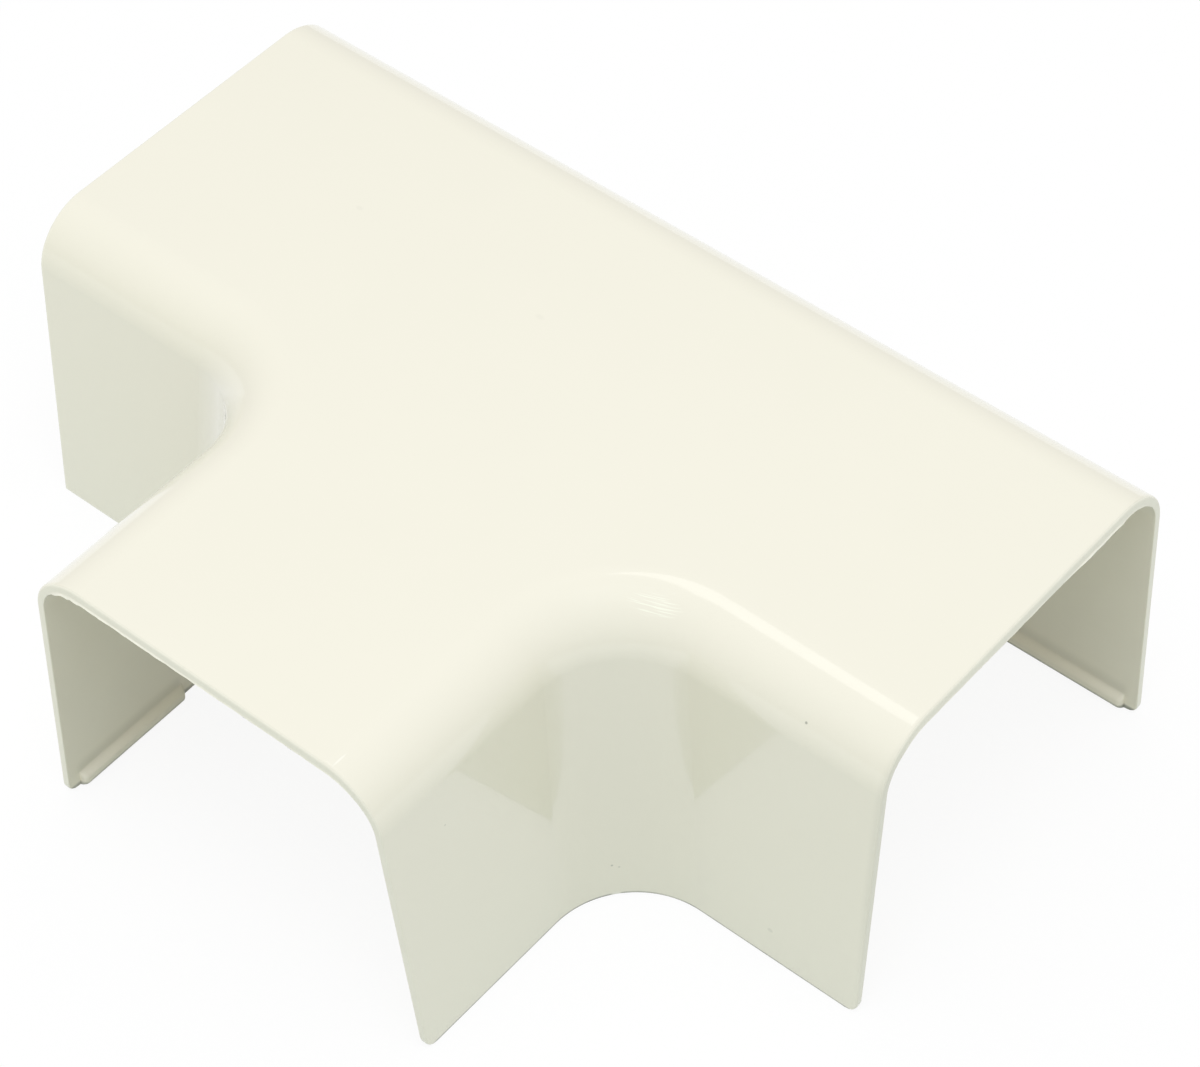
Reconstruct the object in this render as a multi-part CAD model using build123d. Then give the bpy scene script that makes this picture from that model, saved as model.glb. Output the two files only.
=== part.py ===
from build123d import *
from math import cos, radians, tan
import os

# Flat tee cover for square wall trunking, moulded in one piece. The run lies along X,
# the branch points to -Y and the open side faces down. The rim stands on the plane
# Z = 0, and the origin is where the centre lines of run and branch cross on it.

# Overall sizes, to the corners as they would be before rounding
run_length = 151.0
branch_reach = 75.0
cover_width = 60.0
cover_height = 52.3

# Walls, which lean outwards towards the rim
top_thickness = 1.75
wall_thickness = 1.2
wall_lean = 5.0
back_wall_lean = 2.1

# The shoulder rounds the top into the walls, the throat rounds the run into the branch
shoulder_radius = 9.2
throat_radius = 14.0
foot_corner_radius = 1.8
edge_radius = 0.4

# Clip ribs, which thicken the inside of each straight wall along the rim
rib_height = 3.3
rib_land = 1.8
rib_depth = 1.15
back_rib_depth = 1.0
rib_edge_radius = 0.5
rib_end_gap = 2.2
rib_throat_gap = 3.5

# How far the hollow's form passes the open sides that it cuts
overrun = 4.0

# Two places nearer than this are the same place
nearness = 0.01

half_run = run_length / 2


def wall_face(height, lean, inset=0):
    # Distance from a centre line to a wall, as far inside its outer face as inset says
    spread = (cover_height - height) * tan(radians(lean))
    return cover_width / 2 + spread - inset / cos(radians(lean))


def channel_section(plane, first_lean, second_lean, top, foot, inset):
    # The outline across a channel's centre line: a level top and two leaning sides
    return plane * make_face(
        Polyline(
            (-wall_face(foot, first_lean, inset), foot),
            (-wall_face(top, first_lean, inset), top),
            (wall_face(top, second_lean, inset), top),
            (wall_face(foot, second_lean, inset), foot),
            close=True,
        )
    )


def closes_an_end(edge, run_end, branch_end):
    # Whether an edge lies in one of the three planes where a tee form ends
    middle = edge.center()
    return abs(middle.X) > run_end - nearness or middle.Y < nearness - branch_end


def tee_form(run_end, branch_end, top, foot, inset, throat, shoulder):
    # A solid tee: run and branch joined, then the throats and the shoulders rounded
    run_section = channel_section(Plane.YZ, wall_lean, back_wall_lean, top, foot, inset)
    branch_section = channel_section(Plane.XZ, wall_lean, wall_lean, top, foot, inset)
    tee = extrude(run_section, run_end, both=True) + extrude(branch_section, branch_end)
    middle = (top + foot) / 2
    side = wall_face(middle, wall_lean, inset)
    corners = [tee.edges().sort_by_distance((hand * side, -side, middle))[0] for hand in (-1, 1)]
    tee = fillet(corners, throat)
    outline = tee.faces().sort_by(Axis.Z)[-1].edges()
    return fillet(outline.filter_by(lambda edge: not closes_an_end(edge, run_end, branch_end)), shoulder)


def outer_form():
    # The outside. Its foot is rounded at the right end and at the branch's end, and square at
    # the left, and every outer edge is softened there and, as it runs on, along the rim.
    form = tee_form(half_run, branch_reach, cover_height, 0, 0, throat_radius, shoulder_radius)
    ends = form.edges().filter_by(lambda edge: closes_an_end(edge, half_run, branch_reach))
    feet = ends.filter_by(lambda edge: edge.center().Z < nearness and edge.center().X > -nearness)
    form = fillet(feet, foot_corner_radius)
    ends = form.edges().filter_by(lambda edge: closes_an_end(edge, half_run, branch_reach))
    return fillet(ends.filter_by(lambda edge: edge.center().Z > foot_corner_radius + nearness), edge_radius)


def hollow_form():
    # The space inside, which keeps the walls' thickness and passes the open sides
    return tee_form(
        half_run + overrun,
        branch_reach + overrun,
        cover_height - top_thickness,
        -overrun,
        wall_thickness,
        throat_radius + wall_thickness,
        shoulder_radius - (top_thickness + wall_thickness) / 2,
    )


def rib_section(lean, depth):
    # Upright at the rim, then sloping back to the wall's inner face and on into the wall
    bury = wall_thickness / 2
    rise = (rib_height - rib_land) * bury / depth
    return make_face(
        Polyline(
            (wall_face(0, lean, wall_thickness) - depth, 0),
            (wall_face(rib_land, lean, wall_thickness) - depth, rib_land),
            (wall_face(rib_height + rise, lean, wall_thickness - bury), rib_height + rise),
            (wall_face(0, lean, wall_thickness - bury), 0),
            close=True,
        )
    )


def rib(start, outward, length, lean, depth):
    # One rib along a wall that faces outward; the edges that stand free are rounded
    plane = Plane(origin=start, x_dir=outward, z_dir=outward.cross(Vector(0, 0, 1)))
    body = extrude(plane * rib_section(lean, depth), length)
    buried = body.faces().sort_by(Axis(start, outward))[-1]
    return fillet(body.edges() - buried.edges(), rib_edge_radius)


def clip_ribs():
    # The back wall's long rib, and one on each straight wall beside the two throats
    throat_end = wall_face(0, wall_lean) + throat_radius + rib_throat_gap
    run_rib_end = half_run - rib_end_gap
    branch_rib_end = branch_reach - rib_end_gap
    back = rib(Vector(-run_rib_end, 0, 0), Vector(0, 1, 0), 2 * run_rib_end, back_wall_lean, back_rib_depth)
    front = rib(Vector(run_rib_end, 0, 0), Vector(0, -1, 0), run_rib_end - throat_end, wall_lean, rib_depth)
    side = rib(Vector(0, -throat_end, 0), Vector(1, 0, 0), branch_rib_end - throat_end, wall_lean, rib_depth)
    return [back, front, mirror(front, Plane.YZ), side, mirror(side, Plane.YZ)]


cover = outer_form() - hollow_form() + clip_ribs()

os.makedirs("parts", exist_ok=True)
export_step(cover, "parts/tee_cover.step")
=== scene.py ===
from math import acos, cos, exp, pi, radians, sin, sqrt, tan

import bmesh
import bpy
from mathutils import Euler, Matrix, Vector, noise


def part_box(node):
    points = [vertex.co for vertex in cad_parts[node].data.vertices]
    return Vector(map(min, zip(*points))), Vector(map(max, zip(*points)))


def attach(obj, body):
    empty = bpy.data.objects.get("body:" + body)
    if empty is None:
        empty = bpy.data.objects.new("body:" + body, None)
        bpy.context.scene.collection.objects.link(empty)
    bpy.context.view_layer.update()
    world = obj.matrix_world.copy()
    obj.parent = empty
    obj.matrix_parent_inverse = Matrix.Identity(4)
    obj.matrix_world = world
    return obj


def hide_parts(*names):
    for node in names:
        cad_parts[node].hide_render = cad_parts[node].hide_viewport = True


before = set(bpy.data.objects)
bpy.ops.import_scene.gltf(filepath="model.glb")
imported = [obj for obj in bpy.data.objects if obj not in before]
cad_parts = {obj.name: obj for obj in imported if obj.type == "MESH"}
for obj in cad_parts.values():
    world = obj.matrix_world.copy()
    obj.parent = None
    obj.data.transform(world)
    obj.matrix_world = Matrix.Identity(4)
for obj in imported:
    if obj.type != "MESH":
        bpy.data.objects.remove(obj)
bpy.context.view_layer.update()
boxLow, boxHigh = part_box("tee_cover")
endX = boxHigh.x
endY = boxLow.y
coverHeight = boxHigh.z
tiny = 1e-5


# The cover's shape

coverShape = {
    "width": 0.060,  # flat width of run and branch, to the corners before rounding
    "lean": 5.0,  # degrees that the walls lean out towards the rim
    "backLean": 2.08,
    "topThick": 0.00175,
    "wallThick": 0.0012,
    "shoulder": 0.0092,
    "throat": 0.014,
    "footCorner": 0.0018,  # right end and branch only, the left end is square
    "shoulderSteps": 18,
    "throatSteps": 26,
    "footSteps": 4,

    # softened edges
    "edgeSoft": 0.00055,  # the widest, the three shares are of it
    "edgeSteps": 4,
    "outerShare": 1.0,  # along the top of the ends
    "lowShare": 0.35,  # down the walls and along the rim
    "innerShare": 0.35,
    "topEdge": 0.001,  # the outer share is reached this far below the top
    "sharpFrom": 34,  # degrees from which an edge that isn't softened is shaded sharp
    "shadingWeight": 60,

    # clip ribs
    "ribHeight": 0.0033,
    "ribCrest": 0.0018,  # thins out above this
    "ribFoot": 0.0009,  # rounding beside the rim
    "ribDepth": 0.00115,
    "backRibDepth": 0.0010,
    "ribEndGap": 0.0022,
    "ribThroatGap": 0.0035,
    "ribNose": 0.0009,  # rounded length at each end
    "noseShares": (0, 0.06, 0.2, 0.42, 0.7, 1),  # cuts over the nose, the foot and the crest
    "footShares": (0.12, 0.32, 0.62, 1),
    "crestShares": (0, 0.2, 0.4, 0.6, 0.8),

    # fin of flash along the inner top edge of the right end and of the branch
    "finReach": 0.00026,  # how far it stands out of an end, at its fullest
    "finThick": 0.00024,
    "plainApart": 0.0004,  # distance of the same line from the inner edge where there is no fin
    "endSteps": 72,  # divisions of the flat part of an end's edge
    "endStrip": 0.0008,
    "finDroop": 0.0026,  # how far below the inner top its foot is
    "finFade": 1.6,  # how steeply it rises from its foot
    "plainFrom": 0.004,  # the plain softened edge ends this far below the foot
    "plainGone": 0.0004,  # and has faded out this far below it
    "finSwell": (0.8, 0.3, 900),  # middle, swing and scale of its uneven reach
    "finRagged": (0.00008, 1700),  # height and scale
    "rightLeast": 0.3,  # share of the fin everywhere along the right end
    "rightFrom": (0.006, 0.014),  # it grows to the full fin between these places
    "rightTo": (0.018, 0.025),  # and shrinks again between these
    "branchLeast": 0.4,
    "branchTo": (-0.020, 0.016),
    "burrDepth": 0.00026,
    "burrWide": 0.0006,
    "burrsAcross": (-0.0262, -0.0238, -0.0222),  # places along the branch end
    "burrsAlong": (0.0207, 0.0159),  # places along the right end
}


def wallAt(height, lean, inset):
    # how far a wall's face is from its centre line at some height
    spread = (coverHeight - height) * tan(radians(lean))
    return coverShape["width"] / 2 + spread - inset / cos(radians(lean))


ribSpan = {
    "start": wallAt(0, coverShape["lean"], 0) + coverShape["throat"] + coverShape["ribThroatGap"],
    "runEnd": endX - coverShape["ribEndGap"],
    "branchEnd": -endY - coverShape["ribEndGap"],
}
finFoot = coverHeight - coverShape["topThick"] - coverShape["finDroop"]
plainFoot = finFoot - coverShape["plainFrom"]


def easeIn(value, low, high):
    # 0 below low, 1 above high, an even curve between
    share = min(1, max(0, (value - low) / (high - low)))
    return share * share * (3 - 2 * share)


def atEnd(edge):
    # true where the whole edge lies in one of the three open ends
    a, b = (v.co for v in edge.verts)
    if abs(abs(a.x) - endX) < tiny and abs(a.x - b.x) < tiny:
        return True
    return abs(a.y - endY) < tiny and abs(b.y - endY) < tiny


def softBevel(bm, geom, offset, steps, affect="EDGES"):
    bmesh.ops.bevel(bm, geom=geom, offset=offset, offset_type="OFFSET", affect=affect,
                    segments=steps, profile=0.5, material=-1, clamp_overlap=False)


def cutAcross(bm, point, normal, wanted):
    # a straight cut through the faces whose middle is wanted
    faces = [f for f in bm.faces if wanted(f.calc_center_median())]
    geom = dict.fromkeys(faces)  # each part once, in the mesh's own order
    for f in faces:
        geom.update(dict.fromkeys((*f.edges, *f.verts)))
    bmesh.ops.bisect_plane(bm, geom=list(geom), dist=1e-7, plane_co=point, plane_no=normal)


def cutForRibs(bm):
    # cuts at the rib's height and across its rounded noses, on both skins so that the rims match
    height = coverShape["ribHeight"]
    cutAcross(bm, (0, 0, height), (0, 0, 1), lambda middle: True)
    for share in coverShape["noseShares"]:
        back = share * coverShape["ribNose"]
        for hand in (-1, 1):
            for place in (ribSpan["start"] + back, ribSpan["runEnd"] - back):
                cutAcross(bm, (hand * place, 0, 0), (1, 0, 0), lambda middle: middle.z < height)
        for place in (ribSpan["start"] + back, ribSpan["branchEnd"] - back):
            cutAcross(bm, (0, -place, 0), (0, 1, 0), lambda middle: middle.z < height)


def makeSkin(inset, drop, throat, shoulder):
    # one side of the moulding's wall: flat tee, walls pulled down from it, corners rounded
    lean = radians(coverShape["lean"])
    level = coverHeight - drop
    side = wallAt(level, coverShape["lean"], inset)
    back = wallAt(level, coverShape["backLean"], inset)
    bm = bmesh.new()
    bm.edges.layers.float.new("bevel_weight_edge")
    plan = ((endX, -side), (endX, back), (-endX, back), (-endX, -side),
            (-side, -side), (-side, endY), (side, endY), (side, -side))
    bm.faces.new([bm.verts.new((x, y, level)) for x, y in plan])

    walls = [e for e in bm.edges if not atEnd(e)]
    pulled = bmesh.ops.extrude_edge_only(bm, edges=walls)["geom"]
    for v in [g for g in pulled if isinstance(g, bmesh.types.BMVert)]:
        v.co.z = 0
        if v.co.y > 0:
            v.co.y += level * tan(radians(coverShape["backLean"]))
            continue
        if v.co.y > endY + tiny:
            v.co.y -= level * tan(lean)
        if abs(v.co.x) < endX - tiny:
            v.co.x += level * tan(lean) * (1 if v.co.x > 0 else -1)

    inside = [e for e in bm.edges
              if all(abs(v.co.x) < endX - tiny and v.co.y > endY + tiny for v in e.verts)]
    softBevel(bm, inside, throat * tan(acos(sin(lean) ** 2) / 2), coverShape["throatSteps"])

    brow = [e for e in bm.edges if not atEnd(e) and all(v.co.z > level - tiny for v in e.verts)]
    backBrow = [e for e in brow if e.verts[0].co.y > 0]
    frontBrow = [e for e in brow if e.verts[0].co.y < 0]
    for edges, tilt in ((backBrow, coverShape["backLean"]), (frontBrow, coverShape["lean"])):
        softBevel(bm, edges, shoulder * tan(radians(90 - tilt) / 2), coverShape["shoulderSteps"])

    feet = [v for v in bm.verts
            if v.co.z < tiny and (v.co.x > endX - tiny or v.co.y < endY + tiny)]
    softBevel(bm, feet, coverShape["footCorner"], coverShape["footSteps"], "VERTICES")

    tops = [e for e in bm.edges if all(v.co.z > level - tiny for v in e.verts)
            and (all(v.co.x > endX - tiny for v in e.verts) or all(v.co.y < endY + tiny for v in e.verts))]
    bmesh.ops.bisect_edges(bm, edges=tops, cuts=coverShape["endSteps"])
    cutForRibs(bm)
    return bm


def ribReach(place):
    # how far a rib stands in from the wall at a place on the wall's foot
    depth = coverShape["ribDepth"]
    if place.y > 0:
        depth = coverShape["backRibDepth"]
        along = ribSpan["runEnd"] - abs(place.x)
    elif abs(place.x) > ribSpan["start"]:
        along = min(abs(place.x) - ribSpan["start"], ribSpan["runEnd"] - abs(place.x))
    else:
        along = min(-place.y - ribSpan["start"], ribSpan["branchEnd"] + place.y)
    if along < tiny or place.z > coverShape["ribHeight"] - tiny:
        return 0
    if place.z > coverShape["ribCrest"]:
        drop = (place.z - coverShape["ribCrest"]) / (coverShape["ribHeight"] - coverShape["ribCrest"])
        depth *= 1 - drop * drop * (3 - 2 * drop)
    foot = coverShape["ribFoot"]
    if place.z < foot:
        depth -= foot - sqrt(foot ** 2 - (foot - place.z) ** 2)
    if along < coverShape["ribNose"]:
        depth *= sqrt(1 - (1 - along / coverShape["ribNose"]) ** 2)
    return depth


def pushRibs(bm):
    # level cuts along the ribs, then the inner skin is pushed in to their form
    height = coverShape["ribHeight"]
    slope = height - coverShape["ribCrest"]
    levels = [coverShape["ribFoot"] * share for share in coverShape["footShares"]]
    levels += [coverShape["ribCrest"] + slope * share for share in coverShape["crestShares"]]
    for level in levels:
        cutAcross(bm, (0, 0, level), (0, 0, 1), lambda middle: middle.z < height and ribReach(middle) > 0)
    for v in bm.verts:
        reach = ribReach(v.co)
        if v.co.y > 0:
            v.co.y -= reach
        elif abs(v.co.x) > ribSpan["start"]:
            v.co.y += reach
        else:
            v.co.x -= reach * (1 if v.co.x > 0 else -1)


def joinSkins(outer, inner):
    # both skins into one mesh, then the rim and the ends bridged between them
    bm = bmesh.new()
    for place, skin in enumerate((outer, inner)):
        for f in skin.faces:
            f.material_index = place
        part = bpy.data.meshes.new("skin")
        skin.to_mesh(part)
        skin.free()
        bm.from_mesh(part)
        bpy.data.meshes.remove(part)
        if place == 0:
            outerCount = len(bm.verts)
    openEdges = [e for e in bm.edges if e.is_boundary]
    for f in bmesh.ops.bridge_loops(bm, edges=openEdges)["faces"]:
        f.material_index = 2
    bmesh.ops.recalc_face_normals(bm, faces=bm.faces)
    return bm, outerCount


def nearEnd(distance):
    # 1 over the foot corner, then down to 0 further in
    return min(1, max(0, 2 - distance / coverShape["footCorner"]))


def finStrength(place, atRight):
    # fullest along the back half of the right end and at the branch's left
    if atRight:
        least = coverShape["rightLeast"]
        full = easeIn(place.y, *coverShape["rightFrom"]) * (1 - easeIn(place.y, *coverShape["rightTo"]))
    else:
        least = coverShape["branchLeast"]
        full = 1 - easeIn(place.x, *coverShape["branchTo"])
    return least + (1 - least) * full


def addFlash(bm, outerCount):
    # a fine ragged fin along the inner top edge of the right end and of the branch's end
    middle, swing, swellScale = coverShape["finSwell"]
    ragged, raggedScale = coverShape["finRagged"]
    bm.verts.index_update()
    skinCount = len(bm.verts)
    rungs = [e for e in bm.edges if (e.verts[0].index < outerCount) != (e.verts[1].index < outerCount)]
    bmesh.ops.subdivide_edges(bm, edges=rungs, cuts=1)
    bm.verts.index_update()
    tips = set()
    for v in [v for v in bm.verts if v.index >= skinCount]:
        near = [e.other_vert(v) for e in v.link_edges]
        outer = [n for n in near if n.index < outerCount][0]
        inner = [n for n in near if outerCount <= n.index < skinCount][0]
        finHere = 0 if inner.co.x < tiny - endX else easeIn(inner.co.z, plainFoot, finFoot)
        thick = coverShape["plainApart"] + (coverShape["finThick"] - coverShape["plainApart"]) * finHere
        v.co = inner.co + (outer.co - inner.co).normalized() * thick
        tips.add(inner.index)
        for e in v.link_edges:
            e.smooth = not finHere
    for v in bm.verts:
        atRight = v.co.x > endX - tiny
        atBranch = v.co.y < endY + tiny
        share = 0
        if v.index in tips and (atRight or atBranch) and v.co.z > finFoot:
            rise = coverShape["finFade"] * (v.co.z - finFoot) / coverShape["finDroop"]
            share = finStrength(v.co, atRight) * min(1, rise)
            share *= middle + swing * noise.noise(v.co * swellScale)
            burrs = coverShape["burrsAlong"] if atRight else coverShape["burrsAcross"]
            where = v.co.y if atRight else v.co.x
            rough = sum(exp(-((where - b) / coverShape["burrWide"]) ** 2) for b in burrs)
            v.co.z += ragged * noise.noise(v.co * raggedScale)
            v.co.z -= coverShape["burrDepth"] * rough
        # the rest of the end goes back a little, so that the fin stays inside the frame's box
        recess = coverShape["finReach"] * (1 - share)
        v.co.x -= recess * nearEnd(endX - v.co.x)
        v.co.y += recess * nearEnd(v.co.y - endY)


def weighOuter(edge):
    # the outer edge is well rounded along the top of each end and crisper lower down
    height = sum(v.co.z for v in edge.verts) / 2
    top = easeIn(height, coverHeight - coverShape["shoulder"], coverHeight - coverShape["topEdge"])
    return coverShape["lowShare"] + (coverShape["outerShare"] - coverShape["lowShare"]) * top


def weighInner(edge):
    # the inner edge is softened, except on the ribs and where the fin of flash stands
    if any(ribReach(v.co) for v in edge.verts):
        return 0
    if not atEnd(edge) or all(v.co.x < tiny - endX for v in edge.verts):
        return coverShape["innerShare"]
    height = max(v.co.z for v in edge.verts)
    fade = easeIn(height, plainFoot, finFoot - coverShape["plainGone"])
    return coverShape["innerShare"] * (1 - fade)


outerSkin = makeSkin(0, 0, coverShape["throat"], coverShape["shoulder"])
innerSkin = makeSkin(
    coverShape["wallThick"],
    coverShape["topThick"],
    coverShape["throat"] + coverShape["wallThick"],
    coverShape["shoulder"] - (coverShape["topThick"] + coverShape["wallThick"]) / 2,
)
print("skins", len(outerSkin.verts), len(innerSkin.verts), "vertices")

pushRibs(innerSkin)
for skin, weigh in ((outerSkin, weighOuter), (innerSkin, weighInner)):
    weight = skin.edges.layers.float["bevel_weight_edge"]
    for e in [e for e in skin.edges if e.is_boundary]:
        e[weight] = weigh(e)
# one more cut inside, close to each end with a fin, keeps the shading of the flat top even
for point, normal in (((endX - coverShape["endStrip"], 0, 0), (1, 0, 0)),
                      ((0, endY + coverShape["endStrip"], 0), (0, 1, 0))):
    cutAcross(innerSkin, point, normal, lambda middle: middle.z > coverShape["ribHeight"])
bm, outerCount = joinSkins(outerSkin, innerSkin)
addFlash(bm, outerCount)
print("ribs and flash made, open edges:", sum(1 for e in bm.edges if not e.is_manifold))

weight = bm.edges.layers.float["bevel_weight_edge"]
for f in bm.faces:
    f.smooth = True
for e in bm.edges:
    e.smooth = e[weight] > 0 or (e.smooth and e.calc_face_angle() < radians(coverShape["sharpFrom"]))
coverMesh = bpy.data.meshes.new("teeCover")
bm.to_mesh(coverMesh)
bm.free()
cover = bpy.data.objects.new("teeCover", coverMesh)
bpy.context.scene.collection.objects.link(cover)

soften = cover.modifiers.new("softEdges", "BEVEL")
soften.width = coverShape["edgeSoft"]
soften.segments = coverShape["edgeSteps"]
soften.limit_method = "WEIGHT"
soften.use_clamp_overlap = False
even = cover.modifiers.new("evenShading", "WEIGHTED_NORMAL")
even.weight = coverShape["shadingWeight"]
even.keep_sharp = True

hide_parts("tee_cover")
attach(cover, "root")
print("cover built,", len(coverMesh.polygons), "faces before its edges are softened")


# The plastic

plasticLook = {
    # the three surfaces of the moulding, in the order of the mesh's material numbers
    "ivoryGloss": {"colour": (0.885, 0.861, 0.738, 1), "rough": 0.2, "clouding": 0.02, "waviness": 0.5,
                   "rubbed": 0.5, "rim": 0.0005, "coat": 1.0, "marked": True},
    "ivoryInside": {"colour": (0.896, 0.85, 0.728, 1), "rough": 0.42, "clouding": 0.06, "waviness": 1.0,
                    "rubbed": 0.15, "rim": 0.0013, "coat": 0.0, "ribbed": True},
    # the edge colour is paler than the gloss: painted light that brightens the cut ends and the rim
    "ivoryEdge": {"colour": (0.912, 0.89, 0.778, 1), "rough": 0.32, "clouding": 0.05, "waviness": 1.0,
                  "rubbed": 0.3, "rim": 0.0005, "coat": 0.3, "marked": True},

    # colours of wear and marks, and of painted shade and highlights
    # dark specks, and a band of painted shade on the right end's rounding
    "speckAndShade": (0.30, 0.32, 0.27, 1),
    "pale": (0.95, 0.95, 0.84, 1),
    # painted highlight on the fin of flash and on a streak, also a pale scuff at the rim
    "highlightAndScuff": (0.97, 0.955, 0.85, 1),
    # painted shade: the shadow line along the rim and the crease above the ribs
    "grime": (0.25, 0.26, 0.22, 1),
    # painted light on the ribs
    "rib": (0.975, 0.935, 0.815, 1),
    "scratch": (0.98, 0.99, 0.85, 1),

    # moulded surface: gloss, scales of the noise, depths of the bumps in metres
    "ior": 1.5,
    "coatRough": 0.04,
    "coatIor": 1.6,
    "cloudScale": 45,
    "patchScale": 120,
    "roughSwing": 0.08,
    "waveScale": 90,
    "waveDepth": 0.00003,
    "grainScale": 700,
    "grainDepth": 0.0000012,

    # wear of the edges, with a painted shadow line at the rim and the fin's painted highlight
    "wearWidth": 0.0007,
    "wearScale": 260,
    "wearBreaks": (0.35, 0.65),  # levels of the noise between which the rubbing comes in
    "grimeBreaks": (0.3, 0.55, 0.55, 1),  # the same for the painted shadow line at the rim, and its strength at the two
    "rimShadowCore": 0.35,  # the painted shadow line is full up to this share of its height
    "finMask": (0.45, 0.97),  # the fin's painted highlight fades between these shares of its reach
    "farLeft": (-0.045, -0.03),  # left of this the edges are evenly pale, with no painted shadow line

    # painted light on the ribs and painted shade in the crease above them, heights from the rib's top
    "ribPale": 0.5,
    "ribPaleFrom": -0.0009,
    "ribEndBlend": 0.0008,  # along the rib, to both sides of its end
    "ribStartBlend": (-0.0004, 0.001),
    # painted shade in the crease above the ribs
    "creaseShade": 0.17,
    "creaseRise": (-0.0007, 0.0002),
    "creaseFall": (0.0003, 0.0029),

    # specks, stains, pale scuffs, a painted highlight and a band of painted shade: place and size in metres,
    # strength, colour
    "spotCore": 0.35,  # full up to this share of the size
    "spots": (
        ((0.0622, -0.0295, 0.0477), (0.00027, 0.00027, 0.00027), 0.75, "speckAndShade"),
        ((0.0370, -0.0394, 0.0059), (0.00024, 0.00024, 0.00024), 0.5, "speckAndShade"),
        ((0.0377, -0.0387, 0.0054), (0.00022, 0.00022, 0.00022), 0.3, "speckAndShade"),
        ((0.0603, -0.0341, 0.0056), (0.00060, 0.00060, 0.00050), 0.2, "speckAndShade"),
        ((0.0314, -0.0643, 0.0366), (0.00022, 0.00022, 0.00022), 0.3, "speckAndShade"),
        ((-0.0416, 0.0007, 0.0523), (0.00080, 0.00050, 0.00100), 0.06, "speckAndShade"),
        ((-0.0076, 0.0003, 0.0523), (0.00100, 0.00060, 0.00100), 0.05, "speckAndShade"),
        # a painted highlight: a short bright streak at the start of the branch's right shoulder, by its end
        ((0.02295, -0.0730, 0.0522), (0.00020, 0.00160, 0.00080), 0.8, "highlightAndScuff"),
        ((0.0377, -0.0396, 0.0002), (0.00090, 0.00110, 0.00045), 0.8, "highlightAndScuff"),
        # a band of painted shade down the rounding of the front wall's right end
        ((0.0755, -0.0305, 0.0300), (0.00170, 0.00800, 0.04200), 0.12, "speckAndShade"),
    ),

    # patch of fine scratches on the shoulder above the near throat
    "scratchPlace": (0.0367, -0.0285, 0.0508),
    "scratchSize": (0.0042, 0.0017, 0.002),
    "scratchTurn": 23,  # degrees
    "scratchCore": 0.55,
    "scratchStretch": (0.45, 5, 0),
    "scratchScale": 1.6,
    "scratchBreaks": (0.48, 0.6),
}


def addNode(tree, kind, inputs=(), **settings):
    # one node with its settings, then its inputs: a node output is linked, anything else is set
    node = tree.nodes.new("ShaderNode" + kind)
    for name, value in settings.items():
        setattr(node, name, value)
    for name, value in dict(inputs).items():
        if isinstance(value, bpy.types.NodeSocket):
            tree.links.new(value, node.inputs[name])
        else:
            node.inputs[name].default_value = value
    return node


def addMath(tree, operation, *values, **settings):
    # one sum, each value a number or a node output
    return addNode(tree, "Math", enumerate(values), operation=operation, **settings).outputs[0]


def addRange(tree, value, fromMin=0, fromMax=1, toMin=0, toMax=1, soft=False):
    # one range of values turned into another, along an even curve where soft
    kind = "SMOOTHSTEP" if soft else "LINEAR"
    return addNode(tree, "MapRange", {"Value": value, "From Min": fromMin, "From Max": fromMax,
                                      "To Min": toMin, "To Max": toMax}, interpolation_type=kind).outputs[0]


def addPlace(tree):
    return addNode(tree, "TexCoord").outputs["Object"]


def endDistances(tree, split):
    # distance from the middle sideways, from the run's ends and from the branch's end
    side = addMath(tree, "ABSOLUTE", split.outputs["X"])
    fromEnd = addMath(tree, "SUBTRACT", endX, side)
    fromBranch = addMath(tree, "SUBTRACT", split.outputs["Y"], endY)
    return side, fromEnd, fromBranch


def newGroup(name, takes, gives):
    group = bpy.data.node_groups.new(name, "ShaderNodeTree")
    for title, kind in takes:
        group.interface.new_socket(title, in_out="INPUT", socket_type="NodeSocket" + kind)
    for title, kind in gives:
        group.interface.new_socket(title, in_out="OUTPUT", socket_type="NodeSocket" + kind)
    return group, group.nodes.new("NodeGroupInput").outputs, group.nodes.new("NodeGroupOutput").inputs


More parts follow.
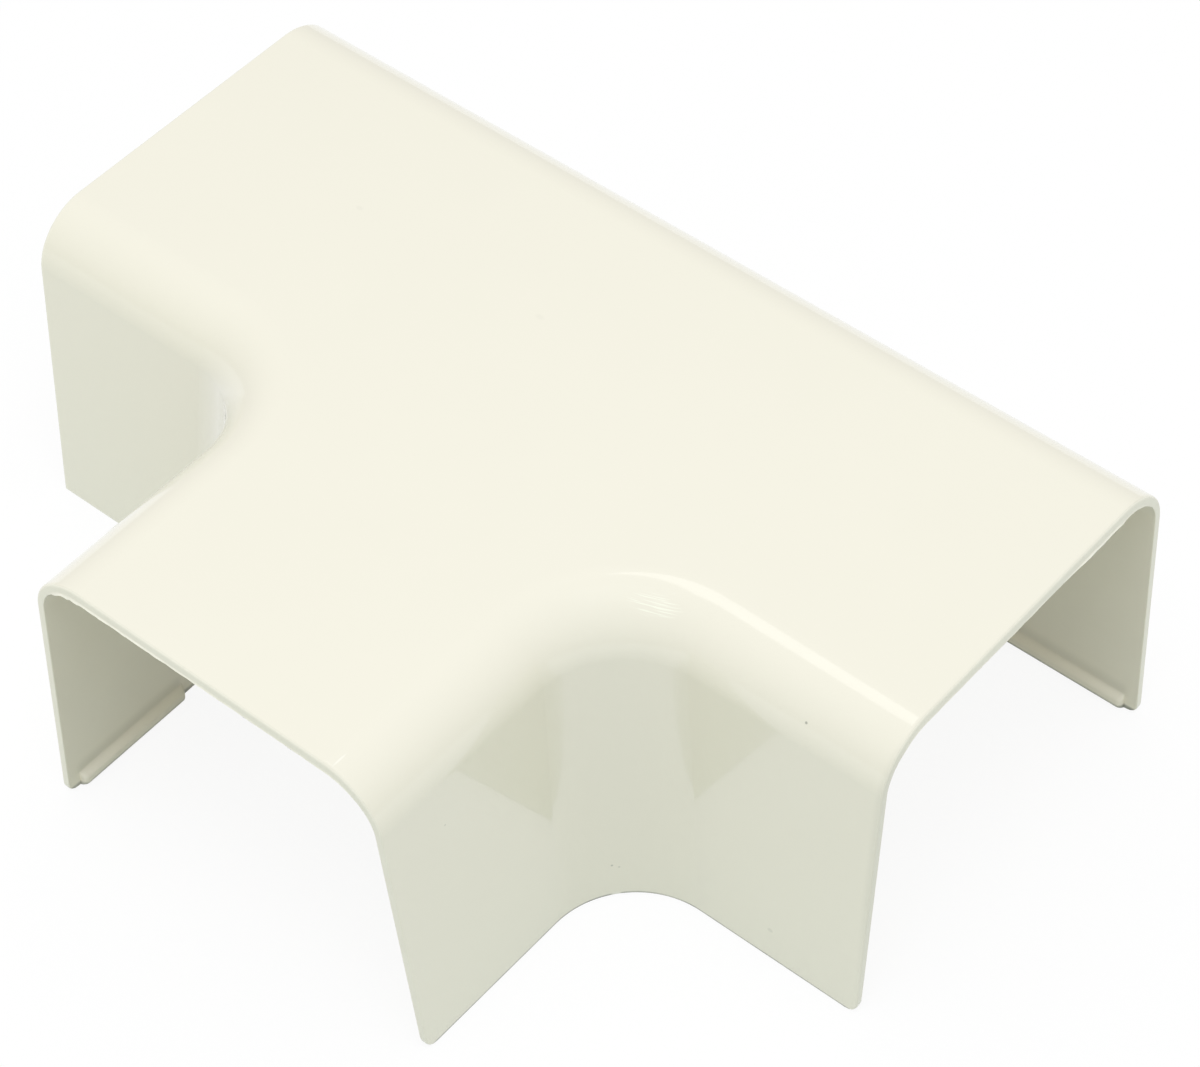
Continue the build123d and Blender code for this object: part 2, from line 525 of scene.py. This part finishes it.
def makeSurfaceGroup():
    # clouded colour, uneven gloss and the faint waviness of a moulded face
    group, given, wanted = newGroup(
        "mouldedSurface",
        (("Colour", "Color"), ("Rough", "Float"), ("Clouding", "Float"), ("Waviness", "Float")),
        (("Colour", "Color"), ("Rough", "Float"), ("Normal", "Vector")),
    )
    place = addPlace(group)
    cloud = addNode(group, "TexNoise", {"Vector": place, "Scale": plasticLook["cloudScale"], "Detail": 4,
                                        "Roughness": 0.6})
    swing = addMath(group, "SUBTRACT", cloud.outputs["Fac"], 0.5)
    tint = addMath(group, "MULTIPLY_ADD", swing, given["Clouding"], 1)
    shade = addNode(group, "VectorMath", {"Vector": given["Colour"], "Scale": tint}, operation="SCALE")
    group.links.new(shade.outputs[0], wanted["Colour"])
    grain = addNode(group, "TexNoise", {"Vector": place, "Scale": plasticLook["grainScale"], "Detail": 2})
    patch = addNode(group, "TexNoise", {"Vector": place, "Scale": plasticLook["patchScale"], "Detail": 3})
    both = addMath(group, "ADD", grain.outputs["Fac"], patch.outputs["Fac"])
    rough = addMath(group, "MULTIPLY_ADD", both, plasticLook["roughSwing"], given["Rough"])
    level = addMath(group, "SUBTRACT", rough, plasticLook["roughSwing"], use_clamp=True)
    group.links.new(level, wanted["Rough"])
    wave = addNode(group, "TexNoise", {"Vector": place, "Scale": plasticLook["waveScale"], "Detail": 1})
    coarse = addNode(group, "Bump", {"Height": wave.outputs["Fac"], "Strength": given["Waviness"],
                                     "Distance": plasticLook["waveDepth"]})
    fine = addNode(group, "Bump", {"Height": grain.outputs["Fac"], "Strength": given["Waviness"],
                                   "Distance": plasticLook["grainDepth"], "Normal": coarse.outputs[0]})
    group.links.new(fine.outputs[0], wanted["Normal"])
    return group


def makeSpotGroup():
    # a soft-edged oval spot at one place on the piece
    group, given, wanted = newGroup("spot", (("Place", "Vector"), ("Size", "Vector")), (("Mask", "Float"),))
    away = addNode(group, "VectorMath", {0: addPlace(group), 1: given["Place"]}, operation="SUBTRACT")
    share = addNode(group, "VectorMath", {0: away.outputs[0], 1: given["Size"]}, operation="DIVIDE")
    reach = addNode(group, "VectorMath", {0: share.outputs[0]}, operation="LENGTH")
    mask = addRange(group, reach.outputs["Value"], plasticLook["spotCore"], 1, 1, 0, soft=True)
    group.links.new(mask, wanted["Mask"])
    return group


def makeWearAndLightGroup():
    # rubbed paler along the rim and the open ends, in uneven patches, with a thin painted shadow line at the
    # rim and a mask for the fin's painted highlight
    group, given, wanted = newGroup(
        "rubbedEdgesAndPaintedLight", (("Width", "Float"), ("Rim", "Float"), ("Fin", "Float")),
        (("Mask", "Float"), ("RimShadow", "Float"), ("Fin", "Float")))
    place = addPlace(group)
    split = addNode(group, "SeparateXYZ", {0: place})
    side, fromEnd, fromBranch = endDistances(group, split)
    nearest = addMath(group, "MINIMUM", addMath(group, "MINIMUM", fromEnd, fromBranch), split.outputs["Z"])
    share = addMath(group, "DIVIDE", nearest, given["Width"])
    band = addRange(group, share, 0, 1, 1, 0, soft=True)
    patch = addNode(group, "TexNoise", {"Vector": place, "Scale": plasticLook["wearScale"], "Detail": 4})
    breaks = addRange(group, patch.outputs["Fac"], *plasticLook["wearBreaks"])
    farLeft = addRange(group, split.outputs["X"], *plasticLook["farLeft"], 1, 0)
    even = addMath(group, "MAXIMUM", breaks, farLeft)
    group.links.new(addMath(group, "MULTIPLY", band, even), wanted["Mask"])
    # a thin painted shadow line along the rim, broken into patches
    low = addMath(group, "DIVIDE", split.outputs["Z"], given["Rim"])
    line = addRange(group, low, plasticLook["rimShadowCore"], 1, 1, 0, soft=True)
    patchyShadow = addRange(group, patch.outputs["Fac"], *plasticLook["grimeBreaks"])
    shadowKept = addMath(group, "SUBTRACT", patchyShadow, farLeft, use_clamp=True)
    group.links.new(addMath(group, "MULTIPLY", line, shadowKept), wanted["RimShadow"])
    # the fin of flash is all that stands out as far as the ends' full length, and gets a painted highlight
    fromRight = addMath(group, "SUBTRACT", endX, split.outputs["X"])
    outmost = addMath(group, "MINIMUM", fromRight, fromBranch)
    away = addMath(group, "DIVIDE", outmost, given["Fin"])
    highlightAndScuff = addRange(group, away, *plasticLook["finMask"], 1, 0)
    group.links.new(highlightAndScuff, wanted["Fin"])
    return group


surfaceGroup = makeSurfaceGroup()
spotGroup = makeSpotGroup()
wearAndLightGroup = makeWearAndLightGroup()


def makeMaterial(name):
    material = bpy.data.materials.new(name)
    material.use_nodes = True
    tree = material.node_tree
    tree.nodes.clear()
    return material, tree


def fillGroup(tree, group, inputs):
    node = tree.nodes.new("ShaderNodeGroup")
    node.node_tree = group
    for name, value in inputs.items():
        node.inputs[name].default_value = value
    return node


def blendColour(tree, factor, first, second):
    # sockets 0, 6 and 7 and output 2 are the ones for colours
    node = tree.nodes.new("ShaderNodeMix")
    node.data_type = "RGBA"
    tree.links.new(factor, node.inputs[0])
    tree.links.new(first, node.inputs[6])
    node.inputs[7].default_value = second
    return node.outputs[2]


def addRibShade(tree, shade):
    # painted light makes the ribs paler, and painted shade darkens the crease above them
    split = addNode(tree, "SeparateXYZ", {0: addPlace(tree)})
    side, fromEnd, fromBranch = endDistances(tree, split)
    ends = addMath(tree, "MINIMUM", fromEnd, fromBranch)
    gap, blend = coverShape["ribEndGap"], plasticLook["ribEndBlend"]
    clear = addRange(tree, ends, gap - blend, gap + blend, soft=True)
    ahead = addMath(tree, "MULTIPLY", split.outputs["Y"], -1)
    out = addMath(tree, "MAXIMUM", side, ahead)
    past = addRange(tree, out, *(ribSpan["start"] + b for b in plasticLook["ribStartBlend"]), soft=True)
    behind = addMath(tree, "GREATER_THAN", split.outputs["Y"], 0)
    along = addMath(tree, "MULTIPLY", clear, addMath(tree, "MAXIMUM", past, behind))

    height, top = split.outputs["Z"], coverShape["ribHeight"]
    # painted light makes the rib's face paler below its top
    ribLight = addRange(tree, height, top + plasticLook["ribPaleFrom"], top,
                     plasticLook["ribPale"], 0, soft=True)
    shade = blendColour(tree, addMath(tree, "MULTIPLY", ribLight, along), shade, plasticLook["rib"])
    # painted shade darkens the soft crease above the ribs
    rise = addRange(tree, height, *(top + h for h in plasticLook["creaseRise"]), soft=True)
    fall = addRange(tree, height, *(top + h for h in plasticLook["creaseFall"]),
                    plasticLook["creaseShade"], 0, soft=True)
    creaseShading = addMath(tree, "MULTIPLY", addMath(tree, "MULTIPLY", rise, fall), along)
    return blendColour(tree, creaseShading, shade, plasticLook["grime"])


def addMarks(tree, shade):
    # the spots, then the patch of fine scratches
    for place, size, strength, colour in plasticLook["spots"]:
        spot = fillGroup(tree, spotGroup, {"Place": place, "Size": size})
        faint = addMath(tree, "MULTIPLY", spot.outputs["Mask"], strength)
        shade = blendColour(tree, faint, shade, plasticLook[colour])
    turn = (0, 0, radians(plasticLook["scratchTurn"]))
    patch = addNode(tree, "Mapping", {"Vector": addPlace(tree), "Location": plasticLook["scratchPlace"],
                                      "Rotation": turn, "Scale": plasticLook["scratchSize"]},
                    vector_type="TEXTURE").outputs[0]
    size = addNode(tree, "VectorMath", {0: patch}, operation="LENGTH")
    inside = addRange(tree, size.outputs["Value"], plasticLook["scratchCore"], 1, 1, 0, soft=True)
    stretch = addNode(tree, "VectorMath", {0: patch, 1: plasticLook["scratchStretch"]}, operation="MULTIPLY")
    lines = addNode(tree, "TexNoise", {"Vector": stretch.outputs[0], "Scale": plasticLook["scratchScale"],
                                       "Detail": 2})
    sharp = addRange(tree, lines.outputs["Fac"], *plasticLook["scratchBreaks"])
    return blendColour(tree, addMath(tree, "MULTIPLY", inside, sharp), shade, plasticLook["scratch"])


def makePlastic(name, colour, rough, clouding, waviness, rubbed, rim, coat, marked=False, ribbed=False):
    # clouding, waviness and rubbed are strengths, rim is the height of the painted shadow line
    material, tree = makeMaterial(name)
    surface = fillGroup(tree, surfaceGroup, {"Colour": colour, "Rough": rough, "Clouding": clouding,
                                             "Waviness": waviness})
    shade = surface.outputs["Colour"]
    wearAndLight = fillGroup(tree, wearAndLightGroup, {"Width": plasticLook["wearWidth"], "Rim": rim,
                                       "Fin": coverShape["finReach"]})
    if ribbed:
        shade = addRibShade(tree, shade)
    worn = addMath(tree, "MULTIPLY", wearAndLight.outputs["Mask"], rubbed)
    shade = blendColour(tree, worn, shade, plasticLook["pale"])
    # the painted shadow line along the rim
    shade = blendColour(tree, wearAndLight.outputs["RimShadow"], shade, plasticLook["grime"])
    # the fin's painted highlight
    shade = blendColour(tree, wearAndLight.outputs["Fin"], shade, plasticLook["highlightAndScuff"])
    if marked:
        shade = addMarks(tree, shade)
    shader = addNode(tree, "BsdfPrincipled", {
        "Base Color": shade, "Roughness": surface.outputs["Rough"], "Normal": surface.outputs["Normal"],
        "IOR": plasticLook["ior"], "Coat Weight": coat, "Coat Roughness": plasticLook["coatRough"],
        "Coat IOR": plasticLook["coatIor"]})
    addNode(tree, "OutputMaterial", {"Surface": shader.outputs[0]})
    return material


for name in ("ivoryGloss", "ivoryInside", "ivoryEdge"):
    cover.data.materials.append(makePlastic(name, **plasticLook[name]))
print("plastic made")


# Floor, light and camera

stageLook = {
    "floorSize": 3.0,
    "white": (1.0, 1.0, 1.0, 1),  # floor and backdrop, as the camera and the gloss see them
    "floorGlow": 0.9,  # share of the shown floor that is plain white
    "floorBounce": (0.525, 0.60, 0.535, 1),  # what lights the plastic from below
    "worldColour": (1.03, 1, 0.96, 1),
    "worldStrength": 0.71,

    # place, where it points, width and depth, radiance, colour, and whether gloss shows it:
    # the fills only even the light, the key softbox gives the highlight
    "softboxes": {
        "keySoftbox": ((-0.19, 0.056, 0.65), (0, 0, 0.05), (0.20, 0.13), 0.88, (1, 1, 1), True),
        "topFill": ((0.173, -0.212, 0.996), (0, -0.02, 0.03), (0.5, 0.5), 4.65, (0.92, 1, 1.1), False),
        "leftFill": ((-0.115, -0.16, 0.072), (-0.045, -0.035, 0.03), (0.1, 0.1), 0.33,
                     (1, 0.93, 0.72), False),
    },

    "lens": 109.4,
    "shift": (-0.0225, 0.0298),
    "cameraPlace": (0.2336, -0.2551, 0.4098),
    "cameraTurn": (40.457, 1.447, 39.939),  # degrees
}

floorMesh = bpy.data.meshes.new("floor")
bm = bmesh.new()
bmesh.ops.create_grid(bm, x_segments=1, y_segments=1, size=stageLook["floorSize"] / 2)
bm.to_mesh(floorMesh)
bm.free()
floor = bpy.data.objects.new("floor", floorMesh)
bpy.context.scene.collection.objects.link(floor)

floorPaint, tree = makeMaterial("floorPaint")
path = addNode(tree, "LightPath")
seen = addMath(tree, "MAXIMUM", path.outputs["Is Camera Ray"], path.outputs["Is Glossy Ray"])
seen = addMath(tree, "MAXIMUM", seen, path.outputs["Is Transmission Ray"])
bounce = addNode(tree, "BsdfDiffuse", {"Color": stageLook["floorBounce"]})
white = addNode(tree, "BsdfDiffuse", {"Color": stageLook["white"]})
glow = addNode(tree, "Emission", {"Color": stageLook["white"]})
shown = addNode(tree, "MixShader", {0: stageLook["floorGlow"], 1: white.outputs[0], 2: glow.outputs[0]})
choice = addNode(tree, "MixShader", {0: seen, 1: bounce.outputs[0], 2: shown.outputs[0]})
addNode(tree, "OutputMaterial", {"Surface": choice.outputs[0]})
floor.data.materials.append(floorPaint)

world = bpy.data.worlds.new("studio")
world.use_nodes = True
tree = world.node_tree
tree.nodes.clear()
path = addNode(tree, "LightPath")
around = addNode(tree, "Background", {"Color": stageLook["worldColour"],
                                      "Strength": stageLook["worldStrength"]})
backdrop = addNode(tree, "Background", {"Color": stageLook["white"]})
choice = addNode(tree, "MixShader", {0: path.outputs["Is Camera Ray"], 1: around.outputs[0],
                                     2: backdrop.outputs[0]})
addNode(tree, "OutputWorld", {"Surface": choice.outputs[0]})
bpy.context.scene.world = world

for name, (place, target, (width, depth), radiance, colour, inGloss) in stageLook["softboxes"].items():
    lamp = bpy.data.lights.new(name, "AREA")
    lamp.shape = "RECTANGLE"
    lamp.size = width
    lamp.size_y = depth
    lamp.color = colour
    lamp.energy = radiance * pi * width * depth
    box = bpy.data.objects.new(name, lamp)
    box.location = place
    box.rotation_euler = (Vector(target) - Vector(place)).to_track_quat("-Z", "Y").to_euler()
    box.visible_glossy = inGloss
    bpy.context.scene.collection.objects.link(box)

camera = bpy.data.objects.new("camera", bpy.data.cameras.new("camera"))
camera.data.lens = stageLook["lens"]
camera.data.shift_x, camera.data.shift_y = stageLook["shift"]
camera.location = stageLook["cameraPlace"]
camera.rotation_euler = Euler([radians(a) for a in stageLook["cameraTurn"]])
bpy.context.scene.collection.objects.link(camera)
bpy.context.scene.camera = camera
bpy.context.scene.view_settings.view_transform = "Standard"
print("floor, light and camera set")
